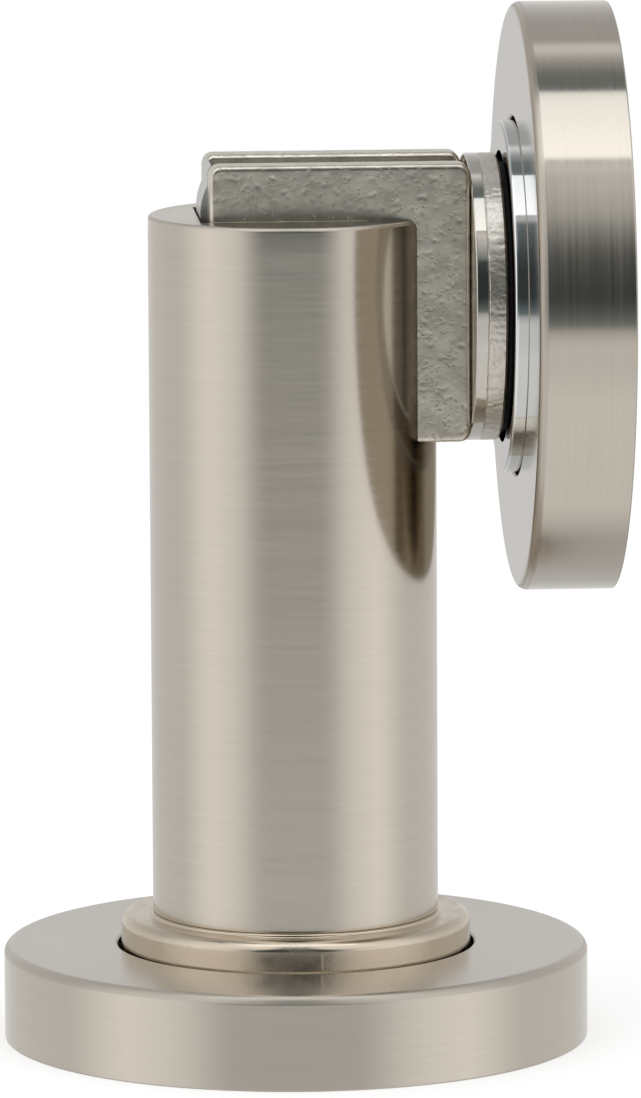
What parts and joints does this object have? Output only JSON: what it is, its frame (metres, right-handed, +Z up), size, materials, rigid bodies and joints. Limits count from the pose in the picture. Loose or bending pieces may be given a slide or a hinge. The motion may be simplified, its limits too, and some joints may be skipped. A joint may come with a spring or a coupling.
{
  "type": "magnetic door holder",
  "caption": "Magnetic door holder: an L-shaped magnet head in a round post on a floor rose holds a steel keeper disc on a matching door rose, and lets go when the door is pulled.",
  "frame": {"origin": "on the floor, at the post's axis, in the plane that the foot plate and the rose stand on", "axes": "+Z up along the post, +X from the post towards the door, Y across the magnet head"},
  "size_m": [0.054, 0.052, 0.092],
  "materials": {
    "satin_nickel": "satin nickel plating with fine brush lines around the turned faces",
    "polished_nickel": "polished nickel plating",
    "cast_nickel": "pitted casting under nickel plating",
    "plated_spacer": "smooth nickel plating",
    "magnet_plating": "smooth nickel plating",
    "keeper_steel": "plated steel, turned bright in front and rough behind",
    "black_rubber": "matt black rubber",
    "screw_steel": "zinc plated steel"
  },
  "bodies": {
    "floor_unit": {"floor_rose": "satin_nickel", "floor_rose_screw": "screw_steel", "foot_plate": "polished_nickel", "post_screw": "screw_steel", "post": "satin_nickel", "near_pole_plate": "cast_nickel", "far_pole_plate": "cast_nickel", "magnet_holder": "plated_spacer", "magnet": "magnet_plating"},
    "keeper_disc": {"keeper": "keeper_steel"},
    "washer": {"rubber_washer": "black_rubber"},
    "door_unit": {"door_rose": "satin_nickel", "door_rose_screw": "screw_steel", "door_plate": "polished_nickel", "keeper_screw": "screw_steel"}
  },
  "joints": [
    {"name": "door_release", "type": "slide", "parent": "floor_unit", "child": "keeper_disc", "axis": [1, 0, 0], "range_m": [0, 0.06]},
    {"name": "door_lean", "type": "hinge", "parent": "keeper_disc", "child": "washer", "pos_m": [0.01805, 0, 0.06598], "axis": [0, 1, 0], "range_deg": [-2.2, 2.2], "stiffness_Nm_per_rad": 0.5, "deforming": ["rubber_washer"]},
    {"name": "door_swing", "type": "hinge", "parent": "washer", "child": "door_unit", "pos_m": [0.01805, 0, 0.06598], "axis": [0, 0, 1], "range_deg": [-2.2, 2.2], "stiffness_Nm_per_rad": 0.5, "deforming": ["rubber_washer"]}
  ]
}
